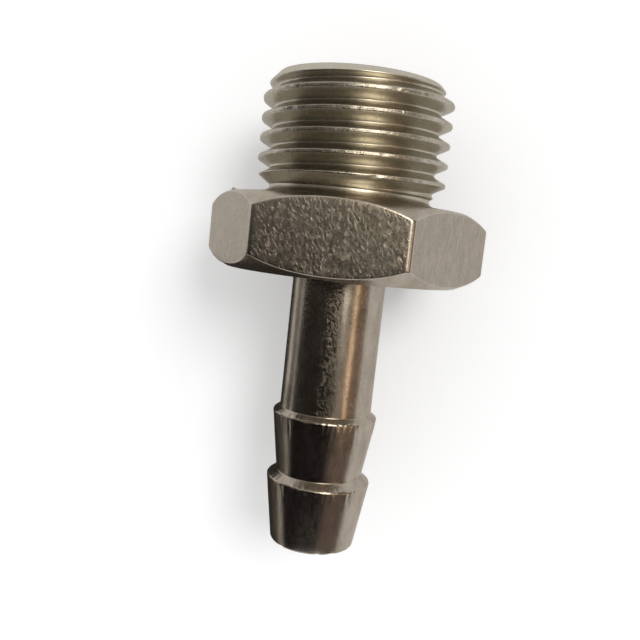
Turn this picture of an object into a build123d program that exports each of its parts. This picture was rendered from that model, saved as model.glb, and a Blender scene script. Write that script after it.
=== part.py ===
from build123d import *
import os
from math import cos, radians, tan

# Hose barb tail: one piece turned from hexagon bar, with a male pipe thread at
# one end and a two-barb hose tail at the other, bored right through.
# The axis lies along Y, thread towards +Y and tail towards -Y. The origin is on
# the axis, midway along the hexagon's corner edges. +Z is square to two of the
# flats, so the piece lies on its lower flat with the axis level.

# Hexagon
hex_across_flats = 17.0
hex_edge_radius = 0.3               # rounding along the six corner edges
hex_edge_length = 3.012             # what the two chamfers leave of each corner edge
hex_chamfer_angle = 33.0            # from the plane of the hexagon
face_chamfer_height = 0.994         # thread side
back_chamfer_height = 1.094         # tail side
face_slope = 5.3                    # the thread-side face falls away from the relief
back_slope = 2.3                    # the tail-side face falls away from the stem

# Pipe thread G 1/4, right-hand, 55 degree flanks
thread_major_radius = 13.157 / 2
thread_pitch = 1.337
thread_depth = 0.6403 * thread_pitch
thread_root_flat = 0.18 * thread_pitch
thread_flank_angle = 27.5           # half of the included angle
thread_length = 8.25                # from the rim of the hexagon's face to the end
end_face_depth = 0.07               # the end face's rim lies this far inside the roots
lead_in_length = 1.05
relief_depth = 0.14                 # the relief lies this far inside the roots
relief_length = 0.72                # from the rim of the hexagon's face to the run-out
relief_corner = 0.3                 # sloping corner between the relief and the face
run_out_length = 0.72
groove_offset = 0.04                # groove's middle above the run-out, where it crosses +Z

# Hose tail
stem_radius = 3.29
stem_length = 9.58                  # from the rim of the back face to the first shoulder
barb_sharp_radius = 3.763           # where shoulder and taper would meet
barb_spacing = 4.64
barb_shoulder_angle = 55.0          # between the shoulder and the axis
barb_crest_break = 0.135            # taken off the crest along the shoulder and the taper
barb_neck_radius = 3.11             # where the first taper meets the second shoulder
tip_length = 5.23                   # from the second shoulder to the end
tip_radius = 3.03
tip_chamfer = 0.15

# Bore
bore_radius = 2.0
bore_thread_chamfer = 0.7
bore_tip_chamfer = 0.3

# How far a cutting form or a bar stands past the material it leaves
cutter_margin = 0.1
bar_margin = 0.5

# Places along the axis
hex_edge_y = hex_edge_length / 2
hex_face_y = hex_edge_y + face_chamfer_height
hex_back_y = -hex_edge_y - back_chamfer_height
relief_end_y = hex_face_y + relief_length
thread_end_y = hex_face_y + thread_length
first_barb_y = hex_back_y - stem_length
second_barb_y = first_barb_y - barb_spacing
tip_y = second_barb_y - tip_length

# Radii about the thread's roots
thread_minor_radius = thread_major_radius - thread_depth
thread_end_radius = thread_minor_radius - end_face_depth
relief_radius = thread_minor_radius - relief_depth

# Hexagon's chamfers: both cones meet the rounded corners at the edges' ends
corner_radius = (hex_across_flats / 2 - hex_edge_radius) / cos(radians(30)) + hex_edge_radius
chamfer_rise = tan(radians(hex_chamfer_angle))
face_rim_radius = corner_radius - face_chamfer_height / chamfer_rise
back_rim_radius = corner_radius - back_chamfer_height / chamfer_rise
bar_radius = corner_radius + bar_margin
bar_edge_y = hex_edge_y - bar_margin * chamfer_rise
face_root_y = hex_face_y + (face_rim_radius - relief_radius - relief_corner) * tan(
    radians(face_slope)
)
back_root_y = hex_back_y - (back_rim_radius - stem_radius) * tan(radians(back_slope))

# Thread: the cones at both ends carry on past the crests, to cut them cleanly
cone_radius = thread_major_radius + bar_margin
lead_in_slope = lead_in_length / (thread_major_radius - thread_end_radius)
run_out_slope = run_out_length / (thread_major_radius - relief_radius)
lead_in_y = thread_end_y - lead_in_slope * (cone_radius - thread_end_radius)
run_out_y = relief_end_y + run_out_slope * (cone_radius - relief_radius)
groove_start_y = relief_end_y + groove_offset - thread_pitch
groove_end_y = thread_end_y + thread_pitch
groove_depth = thread_depth + cutter_margin
root_half_width = thread_root_flat / 2
mouth_half_width = root_half_width + groove_depth * tan(radians(thread_flank_angle))

os.makedirs("parts", exist_ok=True)


def barb(foot_radius, foot_y, end_radius, end_y):
    """Shoulder, broken crest and taper, from the foot down to the end."""
    crest = Vector(
        barb_sharp_radius,
        foot_y - (barb_sharp_radius - foot_radius) / tan(radians(barb_shoulder_angle)),
    )
    foot = Vector(foot_radius, foot_y)
    end = Vector(end_radius, end_y)
    Polyline(
        foot,
        crest + (foot - crest).normalized() * barb_crest_break,
        crest + (end - crest).normalized() * barb_crest_break,
        end,
    )


# Threaded end: a plain bar takes a groove that starts and ends outside the
# finished length, and is then turned to length with a cone at each end
with BuildPart() as threaded_end:
    with BuildSketch(Plane.XZ.offset(-groove_end_y - thread_pitch)):
        Circle(thread_major_radius)
    extrude(amount=groove_end_y - groove_start_y + 2 * thread_pitch)
    with BuildLine():
        groove_path = Helix(
            pitch=thread_pitch,
            height=groove_end_y - groove_start_y,
            radius=thread_minor_radius,
            center=(0, groove_start_y, 0),
            direction=(0, 1, 0),
        )
    with BuildSketch(Plane(groove_path @ 0, x_dir=(0, 0, 1), z_dir=(1, 0, 0))):
        with BuildLine():
            Polyline(
                (0, root_half_width),
                (groove_depth, mouth_half_width),
                (groove_depth, -mouth_half_width),
                (0, -root_half_width),
                close=True,
            )
        make_face()
    sweep(path=groove_path, is_frenet=True, mode=Mode.SUBTRACT)
    with BuildSketch():
        with BuildLine():
            Polyline(
                (0, relief_end_y),
                (relief_radius, relief_end_y),
                (cone_radius, run_out_y),
                (cone_radius, lead_in_y),
                (thread_end_radius, thread_end_y),
                (0, thread_end_y),
                close=True,
            )
        make_face()
    revolve(axis=Axis.Y, mode=Mode.INTERSECT)

with BuildPart() as hose_barb_tail:
    # Relief, chamfered bar, stem and barbs
    with BuildSketch():
        with BuildLine():
            Line((0, tip_y), (tip_radius - tip_chamfer, tip_y))
            Line((tip_radius - tip_chamfer, tip_y), (tip_radius, tip_y + tip_chamfer))
            barb(barb_neck_radius, second_barb_y, tip_radius, tip_y + tip_chamfer)
            barb(stem_radius, first_barb_y, barb_neck_radius, second_barb_y)
            Polyline(
                (stem_radius, first_barb_y),
                (stem_radius, back_root_y),
                (back_rim_radius, hex_back_y),
                (bar_radius, -bar_edge_y),
                (bar_radius, bar_edge_y),
                (face_rim_radius, hex_face_y),
                (relief_radius + relief_corner, face_root_y),
                (relief_radius, face_root_y + relief_corner),
                (relief_radius, relief_end_y),
                (0, relief_end_y),
                (0, tip_y),
            )
        make_face()
    revolve(axis=Axis.Y)

    # The six flats
    with BuildSketch(Plane.XZ):
        RegularPolygon(hex_across_flats / 2, 6, major_radius=False)
        fillet(vertices(), radius=hex_edge_radius)
    extrude(amount=thread_end_y - tip_y, both=True, mode=Mode.INTERSECT)

    add(threaded_end.part)

    # Bore, opened out at both ends
    with BuildSketch():
        with BuildLine():
            Polyline(
                (0, tip_y),
                (bore_radius + bore_tip_chamfer, tip_y),
                (bore_radius, tip_y + bore_tip_chamfer),
                (bore_radius, thread_end_y - bore_thread_chamfer),
                (bore_radius + bore_thread_chamfer, thread_end_y),
                (0, thread_end_y),
                close=True,
            )
        make_face()
    revolve(axis=Axis.Y, mode=Mode.SUBTRACT)

hose_barb_tail.part.label = "hose_barb_tail"
export_step(hose_barb_tail.part, "parts/hose_barb_tail.step")
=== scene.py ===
import math

import bpy
import numpy as np
from mathutils import Matrix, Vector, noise


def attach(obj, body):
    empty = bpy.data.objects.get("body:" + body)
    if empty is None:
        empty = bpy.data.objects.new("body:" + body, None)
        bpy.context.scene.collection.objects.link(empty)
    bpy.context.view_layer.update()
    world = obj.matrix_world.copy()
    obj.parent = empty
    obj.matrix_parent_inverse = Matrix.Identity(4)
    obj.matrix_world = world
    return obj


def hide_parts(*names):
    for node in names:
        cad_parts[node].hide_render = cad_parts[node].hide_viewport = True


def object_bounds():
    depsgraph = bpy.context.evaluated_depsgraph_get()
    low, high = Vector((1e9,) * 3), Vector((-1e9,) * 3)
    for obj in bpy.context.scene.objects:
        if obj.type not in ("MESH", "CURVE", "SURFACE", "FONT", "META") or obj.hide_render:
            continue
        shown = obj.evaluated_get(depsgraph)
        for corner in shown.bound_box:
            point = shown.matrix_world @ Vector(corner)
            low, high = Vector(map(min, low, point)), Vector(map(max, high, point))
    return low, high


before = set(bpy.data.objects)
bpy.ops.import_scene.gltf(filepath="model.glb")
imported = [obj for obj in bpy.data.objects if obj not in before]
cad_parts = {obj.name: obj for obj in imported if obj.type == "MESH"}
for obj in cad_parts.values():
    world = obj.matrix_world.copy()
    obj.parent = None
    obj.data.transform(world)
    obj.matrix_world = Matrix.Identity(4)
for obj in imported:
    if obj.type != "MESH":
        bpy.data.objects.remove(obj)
cad_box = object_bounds()

MM = 0.001
NODE = "hose_barb_tail"

# ---------------------------------------------------------------- sizes, in mm
# Most values are those of the part's source. The corners' radius, the crests' place and
# flat, and every rounding are this form's own. All of it stays inside the solid's box.
HALF_FLATS = 8.5
EDGE_RADIUS = 0.5
EDGE_HALF_LENGTH = 1.506
CORNER_RADIUS = 9.7687          # where the chamfers' cones meet the corner edges' ends
CHAMFER_RISE = math.tan(math.radians(33.0))
CHAMFER_BULGE = 0.10            # how far the chamfers bulge out of their straight cones
FACE_Y = 2.5
BACK_Y = -2.6
FACE_SLOPE = math.tan(math.radians(5.3))
BACK_SLOPE = math.tan(math.radians(2.3))
# Radii where the chamfers end on the two faces, and the angle at which a flat ends
FACE_RIM = CORNER_RADIUS - (FACE_Y - EDGE_HALF_LENGTH) / CHAMFER_RISE
BACK_RIM = CORNER_RADIUS + (BACK_Y + EDGE_HALF_LENGTH) / CHAMFER_RISE
FLAT_END = math.atan((HALF_FLATS - EDGE_RADIUS) * math.tan(math.pi / 6) / HALF_FLATS)

PITCH = 1.337
MAJOR = 13.157 / 2
MINOR = MAJOR - 0.6403 * PITCH
CREST_Y_AT_TOP = 9.296          # a crest's middle where it crosses +Z
CREST_FLAT = 0.23
FLANK_SLOPE = 1 / math.tan(math.radians(27.5))
CREST_ROUNDING = 0.05
ROOT_ROUNDING = 0.22
CONE_ROUNDING = 0.06
END_Y = 10.75
END_RADIUS = MINOR - 0.07
LEAD_IN = 1.05
RELIEF_RADIUS = MINOR - 0.14
RUN_OUT_Y = 3.22
RUN_OUT = 0.72
RELIEF_FILLET = 0.46            # how far the fillet at the relief's foot reaches up it
NECK_FILLET = 0.95              # how far it reaches out over the hexagon's face

STEM_RADIUS = 3.29
BARB_SHARP_RADIUS = 3.763
SHOULDER_SLOPE = math.tan(math.radians(55.0))
NECK_RADIUS = 3.11
BARB_1_Y = -12.18
BARB_2_Y = -16.82
TIP_Y = -22.05
TIP_RADIUS = 3.03
BORE_RADIUS = 2.0
BORE_MOUTH = 0.7
BORE_TIP = 0.3

# Wear: shallow waves over everything, in mm and waves per mm
WAVE_DEPTH = 0.008
WAVES_PER_MM = 0.9

# Wear: deep nicks in the thread's crests, fine ones there and in the barbs' rims
NICK_DEPTH = 0.12
NICKS_PER_MM = 1.9
NICK_THRESHOLD = 0.22
RIM_NICK_DEPTH = 0.08
FINE_NICKS_PER_MM = 3.1
FINE_SHARE_ON_CRESTS = 0.4
CREST_BAND = 0.12               # how far below the crests the nicks reach
NICKS_ABOVE_RUN_OUT = 0.2
RIM_BAND = 0.2
RIM_BLEND = 0.1
SMOOTH_TIP_LENGTH = 2

# Wear: the ragged end of the tip, on its wall only
TIP_RAGGEDNESS = 0.10
CHIPS_PER_MM = 2.3
CHIP_OFFSET = 0.1
CHIP_BAND = 0.35
CHIPS_FROM_RADIUS = 2.5
CHIP_BLEND = 0.5

# Small burrs on the hexagon's face: degrees from +Z towards +X, radius, height and spread
BURRS = [(-71, 8.05, 0.26, 0.13), (-64, 8.1, 0.10, 0.12)]
BURR_BAND = 0.3

# Columns round the axis: even over each flat, and close together over each corner
COLUMNS_PER_HALF_FLAT = 20
COLUMNS_PER_HALF_EDGE = 5

# Rows: steps along a rounding, and places of the thread's rows beside a crest's middle
ROUNDING_STEPS = (0.2, 0.4, 0.6, 0.8, 1.0)
THREAD_ROWS = [0, 0.05, 0.09, 0.13, 0.17, 0.22, 0.29, 0.36, 0.43, 0.48, 0.53, 0.58, 0.63]
SPARE_TURNS = 2
WELDS_PER_MM = 1e5              # points that round to the same place become one


# ------------------------------------------------------------------- the mesh
def column_angles():
    """Angles from +Z towards +X, in radians, one for each column of the mesh."""
    flat = [FLAT_END * (i + 0.5) / COLUMNS_PER_HALF_FLAT for i in range(COLUMNS_PER_HALF_FLAT)]
    step = (math.pi / 6 - FLAT_END) / (COLUMNS_PER_HALF_EDGE - 0.5)
    edge = [FLAT_END + step * i for i in range(COLUMNS_PER_HALF_EDGE)]
    half = flat + edge
    sector = [-b for b in reversed(half)] + half
    return np.array([k * math.pi / 3 + b for k in range(6) for b in sector]) % (2 * math.pi)


ANGLES = np.sort(column_angles())
ONES = np.ones_like(ANGLES)


def hexagon_radius(angles):
    """Distance from the axis to the hexagon with rounded corners."""
    local = np.abs((angles + math.pi / 6) % (math.pi / 3) - math.pi / 6)
    from_corner = math.pi / 6 - local
    centre = (HALF_FLATS - EDGE_RADIUS) / math.cos(math.pi / 6)
    inside = np.maximum(EDGE_RADIUS**2 - (centre * np.sin(from_corner)) ** 2, 0)
    rounded = centre * np.cos(from_corner) + np.sqrt(inside)
    return np.where(local <= FLAT_END, HALF_FLATS / np.cos(local), rounded)


def soft_min(a, b, width):
    """The smaller of two values, rounded where they are within width of each other."""
    mix = np.clip(0.5 + 0.5 * (b - a) / width, 0, 1)
    return b * (1 - mix) + a * mix - width * mix * (1 - mix)


def soft_max(a, b, width):
    """The greater of two values, rounded in the same way."""
    return -soft_min(-a, -b, width)


def unit(vectors):
    """The vectors at a length of 1."""
    return vectors / np.linalg.norm(vectors, axis=1, keepdims=True)


def rounded_rows(corners, setbacks, spans):
    """Rows of (radius, y) along a profile whose corners are rounded.

    corners: (radius, y) pairs, each a number or one value for each column.
    setbacks: how far each corner's rounding reaches before and after it; 0 is sharp.
    spans: how many steps each straight stretch is divided into.
    """
    points = [np.stack([r * ONES, y * ONES], axis=1) for r, y in corners]
    rows = [points[0]]
    leave = points[0]
    last = len(points) - 1
    for i in range(1, len(points)):
        corner = points[i]
        reach = np.broadcast_to(setbacks[i], 2)
        arrive = corner + unit(points[i - 1] - corner) * reach[0]
        for k in range(1, spans[i - 1] + 1):
            rows.append(leave + (arrive - leave) * k / spans[i - 1])
        if i == last or reach[0] == 0:
            leave = corner
            continue
        leave = corner + unit(points[i + 1] - corner) * reach[1]
        for t in ROUNDING_STEPS:
            rows.append(arrive * (1 - t) ** 2 + 2 * corner * t * (1 - t) + leave * t**2)
    return np.array(rows)


def thread_radius(y, angles):
    """Radius of the unbroken thread, which climbs one pitch a turn from +Z towards +X."""
    phase = (y - CREST_Y_AT_TOP - PITCH * angles / (2 * math.pi)) / PITCH
    off_crest = np.abs(phase - np.round(phase)) * PITCH
    flank = MAJOR - (off_crest - CREST_FLAT / 2) * FLANK_SLOPE
    return soft_max(soft_min(MAJOR, flank, CREST_ROUNDING), MINOR, ROOT_ROUNDING)


def cone_radius(y):
    """Radius that the run-out and lead-in cones leave of the thread."""
    run_out = RELIEF_RADIUS + (y - RUN_OUT_Y) / RUN_OUT * (MAJOR - RELIEF_RADIUS)
    lead_in = END_RADIUS + (END_Y - y) / LEAD_IN * (MAJOR - END_RADIUS)
    return np.minimum(run_out, lead_in)


def thread_rows():
    """Rows that follow the helix between the thread's two ends, and their number a pitch."""
    offsets = sorted({-o for o in THREAD_ROWS} | set(THREAD_ROWS)) + [PITCH / 2]
    first = math.floor((RUN_OUT_Y - CREST_Y_AT_TOP) / PITCH) - SPARE_TURNS
    last = math.ceil((END_Y - CREST_Y_AT_TOP) / PITCH) + SPARE_TURNS
    starts = [CREST_Y_AT_TOP + n * PITCH + o for n in range(first, last) for o in offsets]
    rows = []
    for start in starts:
        y = np.clip(start + PITCH * ANGLES / (2 * math.pi), RUN_OUT_Y, END_Y)
        r = soft_min(thread_radius(y, ANGLES), cone_radius(y), CONE_ROUNDING)
        rows.append(np.stack([r, y], axis=1))
    return np.array(rows), len(offsets)


def body_rows():
    """Rows from the end of the thread's relief down to the tip and back up the bore."""
    edge = hexagon_radius(ANGLES)
    top_edge = EDGE_HALF_LENGTH + (CORNER_RADIUS - edge) * CHAMFER_RISE
    face_root = FACE_Y + (FACE_RIM - RELIEF_RADIUS) * FACE_SLOPE
    back_root = BACK_Y - (BACK_RIM - STEM_RADIUS) * BACK_SLOPE
    crest_1 = BARB_1_Y - (BARB_SHARP_RADIUS - STEM_RADIUS) / SHOULDER_SLOPE
    crest_2 = BARB_2_Y - (BARB_SHARP_RADIUS - NECK_RADIUS) / SHOULDER_SLOPE
    # Each corner: radius, y, setbacks of its rounding, steps from it to the next corner
    profile = [
        (RELIEF_RADIUS, RUN_OUT_Y, 0, 1),
        (RELIEF_RADIUS, face_root, (RELIEF_FILLET, NECK_FILLET), 6),
        (FACE_RIM, FACE_Y, 0.14, 2),
        (edge, top_edge, 0.12, 12),
        (edge, -top_edge, 0.10, 2),
        (BACK_RIM, BACK_Y, 0.1, 8),
        (STEM_RADIUS, back_root, 0.18, 16),
        (STEM_RADIUS, BARB_1_Y, 0.05, 2),
        (BARB_SHARP_RADIUS, crest_1, 0.13, 8),
        (NECK_RADIUS, BARB_2_Y, 0.06, 2),
        (BARB_SHARP_RADIUS, crest_2, 0.13, 10),
        (TIP_RADIUS, TIP_Y, 0.16, 2),
        (BORE_RADIUS + BORE_TIP, TIP_Y, 0.05, 1),
        (BORE_RADIUS, TIP_Y + BORE_TIP, 0.05, 8),
        (BORE_RADIUS, END_Y - BORE_MOUTH, 0.05, 2),
        (BORE_RADIUS + BORE_MOUTH, END_Y, 0.06, 4),
        (END_RADIUS, END_Y, 0, 0),
    ]
    corners = [(r, y) for r, y, _, _ in profile]
    return rounded_rows(corners, [p[2] for p in profile], [p[3] for p in profile])


def bulge(rows):
    """Rounds the hexagon's chamfers outwards, and carries the ends of the flats with them."""
    r, y = rows[:, :, 0], rows[:, :, 1]
    along = np.clip((CORNER_RADIUS - r) / (CORNER_RADIUS - FACE_RIM), 0, 1)
    side = np.clip(y / EDGE_HALF_LENGTH, -1, 1)
    return np.stack([r, y + CHAMFER_BULGE * 4 * along * (1 - along) * side], axis=2)


def places_of(rows, scale):
    """Points in space, times scale, of rows that hold the radius and y of each column."""
    x = rows[:, :, 0] * np.sin(ANGLES) * scale
    z = rows[:, :, 0] * np.cos(ANGLES) * scale
    return np.stack([x, rows[:, :, 1] * scale, z], axis=2).reshape(-1, 3)


def noise_over(rows, per_mm):
    """Smooth noise between -1 and 1 at each point of the rows."""
    places = places_of(rows, per_mm).tolist()
    return np.array([noise.noise(p) for p in places]).reshape(rows.shape[:2])


def nicks(rows):
    """How deep the nicks in the thread's crests and the barbs' rims go at each point."""
    r, y = rows[:, :, 0], rows[:, :, 1]
    on_thread = y > RUN_OUT_Y + NICKS_ABOVE_RUN_OUT
    near_crest = np.clip((r - MAJOR + CREST_BAND) / CREST_BAND, 0, 1)
    crests = np.where(on_thread, near_crest, 0)
    on_barb = (y < BARB_1_Y) & (y > TIP_Y + SMOOTH_TIP_LENGTH)
    near_rim = np.clip((r - BARB_SHARP_RADIUS + RIM_BAND) / RIM_BLEND, 0, 1)
    rims = np.where(on_barb, near_rim, 0)
    deep = np.clip(noise_over(rows, NICKS_PER_MM) - NICK_THRESHOLD, 0, 1)
    fine = np.abs(noise_over(rows, FINE_NICKS_PER_MM))
    in_crests = NICK_DEPTH * deep * crests
    in_rims = RIM_NICK_DEPTH * fine * rims
    return in_crests + in_rims + FINE_SHARE_ON_CRESTS * RIM_NICK_DEPTH * fine * crests


def chips(rows):
    """How far the tip's end is broken away at each point."""
    r, y = rows[:, :, 0], rows[:, :, 1]
    near_end = np.clip((TIP_Y + CHIP_BAND - y) / CHIP_BAND, 0, 1)
    on_wall = near_end * np.clip(r - CHIPS_FROM_RADIUS, 0, CHIP_BLEND) / CHIP_BLEND
    return TIP_RAGGEDNESS * np.clip(noise_over(rows, CHIPS_PER_MM) + CHIP_OFFSET, 0, 1) * on_wall


def wear(rows):
    """Cuts waves, nicks and chips into the surface, and raises the burrs out of it."""
    r, y = rows[:, :, 0], rows[:, :, 1]
    wave = WAVE_DEPTH * (0.5 + 0.5 * noise_over(rows, WAVES_PER_MM))
    raised = y + chips(rows)
    on_face = np.abs(y - FACE_Y) < BURR_BAND
    for degrees, radius, height, spread in BURRS:
        turn = np.angle(np.exp(1j * (ANGLES - math.radians(degrees)))) * r
        off = np.hypot(turn, r - radius)
        raised = raised + height * on_face * np.exp(-((off / spread) ** 2))
    return np.stack([r - wave - nicks(rows), raised], axis=2)


def weave(body_count, thread_count, per_pitch):
    """Quads, wound outwards: rings over the body, then the thread as one long strip."""
    n = len(ANGLES)
    quads = []
    for k in range(body_count - 1):
        for j in range(n):
            a, b = k * n + j, k * n + (j + 1) % n
            quads.append((a, a + n, b + n, b))
    for k in range(thread_count - 1):
        for j in range(n - 1):
            a = (body_count + k) * n + j
            quads.append((a, a + 1, a + n + 1, a + n))
        if k + per_pitch + 1 < thread_count:
            a, b = (body_count + k) * n + n - 1, (body_count + k + per_pitch) * n
            quads.append((a, b, b + n, a + n))
    return quads


def weld(points, quads):
    """Points that fall together become one, and faces that vanish are left out."""
    key = np.round(points * WELDS_PER_MM).astype(np.int64)
    _, first, index = np.unique(key, axis=0, return_index=True, return_inverse=True)
    index = index.reshape(-1)
    faces = []
    for quad in quads:
        loop = []
        for v in index[list(quad)]:
            if v not in loop:
                loop.append(int(v))
        if len(loop) > 2:
            faces.append(loop)
    return points[first], faces


def add_object(name, data):
    """A new object in the scene, with the given mesh, lamp or camera data."""
    thing = bpy.data.objects.new(name, data)
    bpy.context.scene.collection.objects.link(thing)
    return thing


def build_fitting():
    """One closed mesh: the helical thread between the two ends of the rest."""
    body = body_rows()
    thread, per_pitch = thread_rows()
    rows = wear(np.concatenate([bulge(body), thread]))
    quads = weave(len(body), len(thread), per_pitch)
    points, faces = weld(places_of(rows, 1.0), quads)
    mesh = bpy.data.meshes.new("fitting")
    mesh.from_pydata((points * MM).tolist(), [], faces)
    mesh.validate()
    mesh.shade_smooth()
    piece = add_object("plated_fitting", mesh)
    even = piece.modifiers.new("even_normals", "WEIGHTED_NORMAL")
    even.mode = "FACE_AREA"
    return piece


# -------------------------------------------------------------- materials
# Colours of the plating where it is whole and where it is worn; on the thread and its crests they
# are lightened by painted light
NICKEL = (0.385, 0.335, 0.28, 1)
NICKEL_WORN = (0.26, 0.225, 0.18, 1)
# The thread's tones are lighter than the rest of the plating: painted light that brightens its
# flanks and valleys, over the plating's own olive tint
OLIVE = (0.455, 0.425, 0.36, 1)
OLIVE_WORN = (0.41, 0.375, 0.31, 1)
FLAT = (0.375, 0.322, 0.276, 1)
FLAT_WORN = (0.260, 0.240, 0.195, 1)
RUBBED = (0.43, 0.385, 0.33, 1)
RUBBED_WORN = (0.36, 0.32, 0.27, 1)
# The crests' whole tone follows the thread's lightened tone, so it carries the same painted light
CREST = (0.44, 0.405, 0.345, 1)
CREST_WORN = (0.30, 0.27, 0.22, 1)
EDGE_TINT = (0.75, 0.72, 0.68, 1)
TONE_STOPS = (0.38, 0.58)

# Stretches of noise, as cycles per mm along X, Y and Z
EVEN = (1, 1, 1)
PATCHES = (1.2, 0.6, 1.2)
DRAWN = (9, 1.3, 9)
HAIRLINES = (14, 1.8, 14)
FLECKS = (18, 2.6, 18)

RINGS_PER_MM = 14
SPECKS_PER_MM = 5.0
SPECK_SPAN = (0.3, 0.7)
PIT_HARSHNESS = 0.7
SCRATCH_BLEND = 0.06


class Look:
    """A material's node tree, with short ways to add nodes and join them."""

    def __init__(self, name):
        self.material = bpy.data.materials.new(name)
        self.material.use_nodes = True
        self.tree = self.material.node_tree
        self.shader = self.tree.nodes["Principled BSDF"]

    def node(self, kind, links=None, **values):
        """A new node: its settings or sockets by name, and what is joined to it."""
        node = self.tree.nodes.new(kind)
        for name, value in values.items():
            if hasattr(node, name):
                setattr(node, name, value)
            else:
                node.inputs[name.replace("_", " ")].default_value = value
        for socket, source in (links or {}).items():
            self.tree.links.new(source, node.inputs[socket])
        return node

    def add(self, first, second):
        """The sum of two values."""
        links = {0: first, 1: second}
        return self.node("ShaderNodeMath", links, operation="ADD").outputs["Value"]

    def noise(self, stretch, turn=(0, 0, 0), scale=1.0, detail=2.0, harshness=0.5):
        """Noise in the part's own millimetres, stretched along its axes."""
        place = self.node("ShaderNodeTexCoord").outputs["Object"]
        turned = self.node("ShaderNodeMapping", {"Vector": place}, Rotation=turn).outputs["Vector"]
        per_mm = tuple(scale * s / MM for s in stretch)
        spread = self.node("ShaderNodeMapping", {"Vector": turned}, Scale=per_mm).outputs["Vector"]
        settings = {"Scale": 1.0, "Detail": detail, "Roughness": harshness}
        return self.node("ShaderNodeTexNoise", {"Vector": spread}, **settings).outputs["Fac"]

    def rings(self, per_mm):
        """Noise that runs round the part's axis, as a turning tool leaves it."""
        place = self.node("ShaderNodeTexCoord").outputs["Object"]
        flat = self.node("ShaderNodeVectorMath", {0: place}, operation="MULTIPLY")
        flat.inputs[1].default_value = (1, 0, 1)
        radius = self.node("ShaderNodeVectorMath", {0: flat.outputs["Vector"]}, operation="LENGTH")
        split = self.node("ShaderNodeSeparateXYZ", {"Vector": place})
        sides = {"X": radius.outputs["Value"], "Y": split.outputs["Y"]}
        turned = self.node("ShaderNodeCombineXYZ", sides).outputs["Vector"]
        settings = {"Scale": per_mm / MM, "Detail": 3.0}
        return self.node("ShaderNodeTexNoise", {"Vector": turned}, **settings).outputs["Fac"]

    def between(self, source, low, high, to_low, to_high):
        """A value carried from one span to another, and held at its ends."""
        span = {"From Min": low, "From Max": high, "To Min": to_low, "To Max": to_high}
        node = self.node("ShaderNodeMapRange", {"Value": source})
        for name, value in span.items():
            node.inputs[name].default_value = value
        return node.outputs["Result"]

    def ramp(self, value, colors):
        """A value from 0 to 1 turned into a colour between two."""
        ramp = self.node("ShaderNodeValToRGB", {"Fac": value})
        for stop, position, color in zip(ramp.color_ramp.elements, TONE_STOPS, colors):
            stop.position = position
            stop.color = color
        return ramp.outputs["Color"]

    def bump(self, height, depth_mm, below=None):
        """Relief of the given depth, laid over the relief below it."""
        links = {"Height": height}
        if below is not None:
            links["Normal"] = below
        settings = {"Strength": 1.0, "Distance": depth_mm * MM}
        return self.node("ShaderNodeBump", links, **settings).outputs["Normal"]

    def feed(self, socket, source):
        """Joins a source to one of the shader's sockets."""
        self.tree.links.new(source, self.shader.inputs[socket])


def plated(name, tones, roughness, grain, lines, scratches):
    """Nickel plate on brass, in one of the finishes that the part has.

    tones: the plating's colour where it is worn and where it is whole.
    roughness: where it is smoothest and where it is roughest.
    grain: how fine the pitting is, per mm, and its depth in mm.
    lines: stretch (None for rings), depth and share in the colour of the tool's marks.
    scratches: stretch, threshold, depth and turns of fine scratches.
    """
    look = Look(name)
    look.shader.inputs["Metallic"].default_value = 1.0
    look.shader.inputs["Specular Tint"].default_value = EDGE_TINT
    pits_per_mm, pit_depth = grain
    line_stretch, line_depth, line_share = lines
    patches = look.noise(PATCHES, detail=4.0)
    pits = look.noise(EVEN, scale=pits_per_mm, detail=4.0, harshness=PIT_HARSHNESS)
    streaks = look.noise(line_stretch, detail=3.0) if line_stretch else look.rings(RINGS_PER_MM)
    share = look.between(streaks, 0.0, 1.0, 0.0, line_share)
    total = look.add(look.add(patches, pits), share)
    look.feed("Base Color", look.ramp(look.between(total, 0.0, 2.0 + line_share, 0.0, 1.0), tones))
    speck = look.noise(EVEN, scale=SPECKS_PER_MM, detail=3.0)
    look.feed("Roughness", look.between(speck, *SPECK_SPAN, *roughness))
    normal = look.bump(pits, pit_depth)
    normal = look.bump(streaks, line_depth, normal)
    stretch, threshold, depth, turns = scratches
    for turn in turns:
        mark = look.noise(stretch, turn=(0, 0, turn), detail=1.0)
        thin = look.between(mark, threshold, threshold + SCRATCH_BLEND, 0.0, -1.0)
        normal = look.bump(thin, depth, normal)
    look.feed("Normal", normal)
    return look.material


TONES = (NICKEL_WORN, NICKEL)
OLIVES = (OLIVE_WORN, OLIVE)
FLATS = (FLAT_WORN, FLAT)
RUBBED_TONES = (RUBBED_WORN, RUBBED)
CRESTS = (CREST_WORN, CREST)
NO_MARKS = (HAIRLINES, 0.68, 0.001, (0.8,))
SLANTING = (FLECKS, 0.54, 0.0022, (-0.7,))
ON_FLATS = (HAIRLINES, 0.60, 0.0038, (0.5, -0.6))

# The finishes, in the order of these names
AS_TURNED, AS_THREAD, AS_DRAWN, AS_STEM, AS_EDGE, AS_CREST = range(6)
FINISHES = [
    plated("plated_turned", TONES, (0.13, 0.24), (9, 0.009), (None, 0.003, 0.3), NO_MARKS),
    # The thread's and crests' finishes take tones lightened by painted light
    plated("plated_thread", OLIVES, (0.26, 0.36), (7, 0.003), (None, 0.004, 1.5), NO_MARKS),
    plated("plated_drawn", FLATS, (0.22, 0.32), (9, 0.006), (DRAWN, 0.015, 1.5), ON_FLATS),
    plated("plated_stem", TONES, (0.13, 0.24), (7, 0.006), (None, 0.003, 0.3), SLANTING),
    plated("plated_edge", RUBBED_TONES, (0.12, 0.22), (9, 0.008), (None, 0.002, 0.3), NO_MARKS),
    plated("plated_crest", CRESTS, (0.18, 0.30), (6, 0.026), (None, 0.003, 1.0), NO_MARKS),
]

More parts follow.
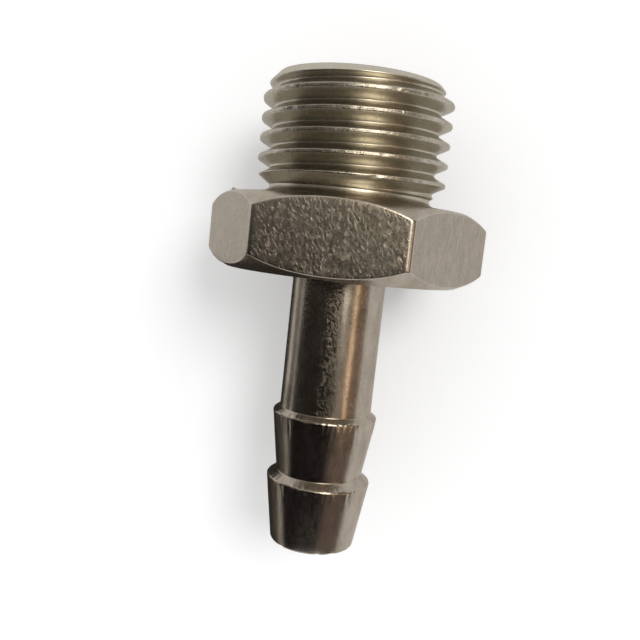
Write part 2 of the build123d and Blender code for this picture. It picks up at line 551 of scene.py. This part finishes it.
# Where they lie: radii in mm, and how far a face's normal leans along the axis
FLATS_FROM_RADIUS = 8.4
CORNERS_FROM_RADIUS = 9.69
THREAD_FROM_RADIUS = 5.5
STEM_FROM_RADIUS = 3
CREST_DEPTH = 0.05
FLAT_LEAN = 0.12
EDGE_LEAN = 0.6


def choose_finish(centre, normal):
    """The finish of a face, from its place and the way it faces."""
    radius = math.hypot(centre.x, centre.z) / MM
    y = centre.y / MM
    lean = abs(normal.y)
    if radius > FLATS_FROM_RADIUS:
        if FLAT_LEAN < lean < EDGE_LEAN or radius > CORNERS_FROM_RADIUS:
            return AS_EDGE
        return AS_DRAWN if lean <= FLAT_LEAN else AS_TURNED
    on_fillet = y > FACE_Y and radius < RELIEF_RADIUS + NECK_FILLET
    if radius > THREAD_FROM_RADIUS and (y > RUN_OUT_Y or on_fillet):
        return AS_CREST if radius > MAJOR - CREST_DEPTH else AS_THREAD
    if BARB_1_Y < y < BACK_Y and radius > STEM_FROM_RADIUS:
        return AS_STEM
    return AS_TURNED


fitting = build_fitting()
for finish in FINISHES:
    fitting.data.materials.append(finish)
for polygon in fitting.data.polygons:
    polygon.material_index = choose_finish(polygon.center, polygon.normal)
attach(fitting, "root")
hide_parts(NODE)

# ------------------------------------------------------------------ stage
FLOOR_Z = cad_box[0][2]
FLOOR_SPAN = (-3.0, 3.0)
PAPER_COLOR = (0.97, 0.97, 0.97, 1)
PAPER_ROUGHNESS = 0.9
PAPER_LIFT = 0.13               # added where the paper is seen, so that it shows white
WORLD_LIGHT = 0.68
# Height of the painted-shadow sheets, which stand in for the floor's shadow in reflections
PAINTED_SHADOW_HEIGHT = 0.1              # of the sheets over the floor, in mm
CARD_STEPS = 16

SUN_STRENGTH = 0.34 * math.pi
SUN_WIDTH = 24                  # degrees
SUN_LEAN = (28, -20)            # degrees from straight down, about Y and about X

# Painted shadow: dark sheets lying to the left of the part, which its reflections alone show,
# stand in for the floor's shadow there.
# Each: name, span along X and along Y in mm, colour
PAINTED_SHADOWS = [
    ("painted_shadow_near", (-17, -3), (-70, -3), (0.06, 0.057, 0.055)),
    ("painted_shadow_end", (-34, -17), (-70, -17), (0.13, 0.12, 0.11)),
    ("painted_shadow_far", (-300, -34), (-100, -3), (0.17, 0.157, 0.145)),
]

# What stands round the part, which its reflections alone show. Each: name, spans in
# degrees from straight up towards +X and towards +Y, distance in m, colour, strength
CARDS = [
    ("card_room", (-86, 88), (-52, 52), 0.34, (0.32, 0.29, 0.24), 1.0),
    ("card_dark", (-86, 21), (-24, 1), 0.30, (0.030, 0.029, 0.028), 1.0),
    ("card_dim", (-86, -3), (1, 18), 0.30, (0.192, 0.184, 0.175), 1.0),
    ("card_mid", (-3, 10), (1, 18), 0.30, (0.38, 0.335, 0.265), 1.0),
    ("card_dark_low", (-86, 27), (-52, -24), 0.30, (0.016, 0.015, 0.017), 1.0),
    ("card_low", (27, 84), (-52, -26), 0.31, (0.21, 0.165, 0.145), 1.0),
    ("card_ramp_1", (21, 27), (-26, 3), 0.30, (0.11, 0.10, 0.085), 1.0),
    ("card_ramp_2", (27, 34), (-26, 3), 0.30, (0.24, 0.215, 0.18), 1.0),
    ("card_ramp_3", (34, 50), (-26, 3), 0.30, (0.46, 0.41, 0.34), 1.0),
    ("card_strip", (50, 58), (-26, 3), 0.29, (1.0, 0.75, 0.53), 2.4),
    ("card_brown", (58, 84), (-26, 3), 0.30, (0.32, 0.22, 0.155), 1.0),
    ("card_lamp", (10, 38), (7, 50), 0.28, (1.0, 0.94, 0.82), 6.5),
    ("card_edge", (24, 35), (-6, 7), 0.28, (1.0, 0.98, 0.93), 3.0),
]


def glow(name, color, strength):
    """A plain glowing colour."""
    look = Look(name)
    look.shader.inputs["Base Color"].default_value = (0, 0, 0, 1)
    look.shader.inputs["Specular IOR Level"].default_value = 0.0
    look.shader.inputs["Emission Color"].default_value = (*color, 1)
    look.shader.inputs["Emission Strength"].default_value = strength
    return look.material


def only_reflected(card):
    """Hides a card from everything but reflections."""
    card.visible_camera = False
    card.visible_diffuse = False
    card.visible_shadow = False


def plain_object(name, points, faces, material):
    """An object of one material, from its points and faces."""
    mesh = bpy.data.meshes.new(name)
    mesh.from_pydata(points, [], faces)
    mesh.materials.append(material)
    return add_object(name, mesh)


def make_sheet(name, x_range, y_range, z, material):
    """A flat level sheet."""
    corners = [(x_range[i], y_range[j], z) for i, j in ((0, 0), (1, 0), (1, 1), (0, 1))]
    sheet = plain_object(name, corners, [(0, 1, 2, 3)], material)
    return sheet


def card_point(a, e, distance):
    """The point at angle a from straight up towards +X, and e from there towards +Y."""
    way = (math.sin(a) * math.cos(e), math.sin(e), math.cos(a) * math.cos(e))
    return [distance * c for c in way]


def make_card(name, across, along, distance, color, strength):
    """A curved card round the part, which is seen in its reflections only."""
    places = []
    for i in range(CARD_STEPS + 1):
        a = math.radians(across[0] + (across[1] - across[0]) * i / CARD_STEPS)
        for j in range(CARD_STEPS + 1):
            e = math.radians(along[0] + (along[1] - along[0]) * j / CARD_STEPS)
            places.append(card_point(a, e, distance))
    row = CARD_STEPS + 1
    starts = [i * row + j for i in range(CARD_STEPS) for j in range(CARD_STEPS)]
    faces = [(k, k + 1, k + row + 1, k + row) for k in starts]
    card = plain_object(name, places, faces, glow(name, color, strength))
    only_reflected(card)


def seen_ray(tree):
    """1 for the rays that show a thing: from the camera, by reflection or through glass."""
    path = tree.nodes.new("ShaderNodeLightPath").outputs
    seen = path["Is Camera Ray"]
    for way in ("Is Glossy Ray", "Is Transmission Ray"):
        both = tree.nodes.new("ShaderNodeMath")
        both.operation = "ADD"
        both.use_clamp = True
        tree.links.new(seen, both.inputs[0])
        tree.links.new(path[way], both.inputs[1])
        seen = both.outputs["Value"]
    return seen


def paper():
    """White paper, lifted a little where it is seen."""
    look = Look("paper")
    look.shader.inputs["Base Color"].default_value = PAPER_COLOR
    look.shader.inputs["Roughness"].default_value = PAPER_ROUGHNESS
    look.shader.inputs["Specular IOR Level"].default_value = 0.0
    look.shader.inputs["Emission Color"].default_value = (1, 1, 1, 1)
    look.feed("Emission Strength", look.between(seen_ray(look.tree), 0.0, 1.0, 0.0, PAPER_LIFT))
    return look.material


def add_world():
    """White where it is seen, and a plain level of light on everything."""
    world = bpy.data.worlds.new("studio")
    bpy.context.scene.world = world
    world.use_nodes = True
    backdrop = world.node_tree.nodes["Background"]
    backdrop.inputs["Color"].default_value = (1, 1, 1, 1)
    level = world.node_tree.nodes.new("ShaderNodeMapRange")
    level.inputs["To Min"].default_value = WORLD_LIGHT
    level.inputs["To Max"].default_value = 1.0
    world.node_tree.links.new(seen_ray(world.node_tree), level.inputs["Value"])
    world.node_tree.links.new(level.outputs["Result"], backdrop.inputs["Strength"])


def add_sun():
    """A wide sun, which gives the part its shadow and isn't seen in it."""
    data = bpy.data.lights.new("lamp", "SUN")
    data.energy = SUN_STRENGTH
    data.angle = math.radians(SUN_WIDTH)
    sun = add_object("lamp", data)
    about_y, about_x = [math.radians(degrees) for degrees in SUN_LEAN]
    sun.matrix_world = Matrix.Rotation(about_y, 4, "Y") @ Matrix.Rotation(about_x, 4, "X")
    sun.visible_glossy = False


make_sheet("floor", FLOOR_SPAN, FLOOR_SPAN, FLOOR_Z, paper())
# Painted shadow: dark glowing sheets on the floor, seen only in reflections
for name, x_range, y_range, color in PAINTED_SHADOWS:
    spans = [[c * MM for c in span] for span in (x_range, y_range)]
    only_reflected(make_sheet(name, *spans, FLOOR_Z + PAINTED_SHADOW_HEIGHT * MM, glow(name, color, 1.0)))
for card in CARDS:
    make_card(*card)
add_world()
add_sun()

# ----------------------------------------------------------------- camera
# The camera that was fitted to the photo: turns in radians, shift in mm
FOCAL_PX = 742.05
IMAGE_PX = 640
SENSOR_MM = 36.0
CAMERA_TILT = 0.1108
CAMERA_ROLL = -0.1079
CAMERA_TURN = -0.1230
CAMERA_SHIFT = (1.697, 5.701, -52.412)
CLIP_NEAR = 0.002
CLIP_FAR = 20.0


def add_camera():
    """The photo's camera."""
    data = bpy.data.cameras.new("camera")
    data.sensor_width = SENSOR_MM
    data.lens = SENSOR_MM * FOCAL_PX / IMAGE_PX
    data.clip_start = CLIP_NEAR
    data.clip_end = CLIP_FAR
    camera = add_object("camera", data)
    to_camera = (
        Matrix.Rotation(CAMERA_ROLL, 4, "Z")
        @ Matrix.Rotation(CAMERA_TILT, 4, "X")
        @ Matrix.Rotation(CAMERA_TURN, 4, "Y")
    )
    to_camera.translation = [c * MM for c in CAMERA_SHIFT]
    camera.matrix_world = to_camera.inverted()
    bpy.context.scene.camera = camera


add_camera()
bpy.context.scene.view_settings.view_transform = "Standard"
